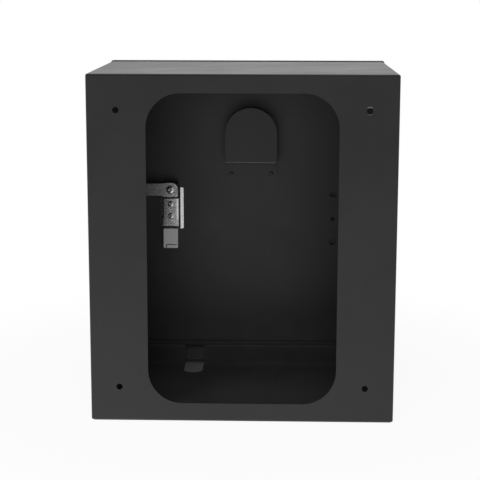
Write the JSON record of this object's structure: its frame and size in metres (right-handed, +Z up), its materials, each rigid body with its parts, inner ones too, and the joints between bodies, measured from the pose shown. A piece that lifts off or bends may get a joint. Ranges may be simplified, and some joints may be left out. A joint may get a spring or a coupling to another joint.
{
  "type": "electric vehicle charger enclosure",
  "caption": "Wall-mounted steel cabinet with a windowed rear panel, a hinged front door, a pop-out lever lock and a cable hook inside the door.",
  "frame": {"origin": "centre of the four wall fixings, on the rear panel's outer face", "axes": "+X to the right seen from the rear, as in the picture; +Y from the rear panel to the door; +Z up"},
  "size_m": [0.4115, 0.318, 0.46],
  "materials": {
    "powder_coat": "fine matt charcoal powder coat",
    "foam_seal": "soft black foam rubber",
    "black_casting": "black coated die casting, satin",
    "zinc_plate": "bright zinc plate, slightly mottled",
    "grey_plastic": "mid grey moulded plastic",
    "nickel": "satin nickel plate",
    "black_plastic": "black moulded plastic"
  },
  "bodies": {
    "cabinet": {"rear_panel": "powder_coat", "cabinet_shell": "powder_coat", "floor_panel": "powder_coat", "front_frame": "powder_coat", "upper_hinge_box_leaf": "powder_coat", "lower_hinge_box_leaf": "powder_coat", "upper_hinge_pin": "zinc_plate", "lower_hinge_pin": "zinc_plate", "box_leaf_rivets": "powder_coat"},
    "door": {"door_panel": "powder_coat", "door_gasket": "foam_seal", "upper_hinge_door_leaf": "powder_coat", "lower_hinge_door_leaf": "powder_coat", "door_leaf_rivets": "powder_coat", "cable_hook": "powder_coat", "hook_rivets": "powder_coat", "lock_housing": "black_casting", "lock_seal": "foam_seal", "fixing_frame": "zinc_plate", "clamp_screws": "zinc_plate", "cylinder_cover": "grey_plastic", "slot_plug": "black_plastic", "small_plug": "black_plastic", "large_plug": "black_plastic"},
    "spindle": {"lock_spindle": "zinc_plate", "lock_cam": "zinc_plate", "cam_washer": "zinc_plate", "cam_screw": "zinc_plate", "lever_hinge_pin": "zinc_plate"},
    "lever": {"lock_lever": "black_casting"},
    "button": {"lock_button": "nickel"},
    "key": {"key_plug": "nickel"}
  },
  "joints": [
    {"name": "door_swing", "type": "hinge", "parent": "cabinet", "child": "door", "pos_m": [0.206, 0.28375, 0], "axis": [0, 0, -1], "range_deg": [0, 180]},
    {"name": "spindle_turn", "type": "hinge", "parent": "door", "child": "spindle", "pos_m": [-0.114, 0.29, 0.0395], "axis": [0, 1, 0], "range_deg": [0, 90]},
    {"name": "lever_tilt", "type": "hinge", "parent": "spindle", "child": "lever", "pos_m": [-0.114, 0.311, 0.0395], "axis": [1, 0, 0], "range_deg": [0, 30]},
    {"name": "button_press", "type": "slide", "parent": "door", "child": "button", "axis": [0, -1, 0], "range_m": [0, 0.003], "stiffness_N_per_m": 600, "springref_m": -0.002},
    {"name": "key_turn", "type": "hinge", "parent": "button", "child": "key", "pos_m": [-0.114, 0.31, -0.0348], "axis": [0, 1, 0], "range_deg": [0, 90]}
  ]
}
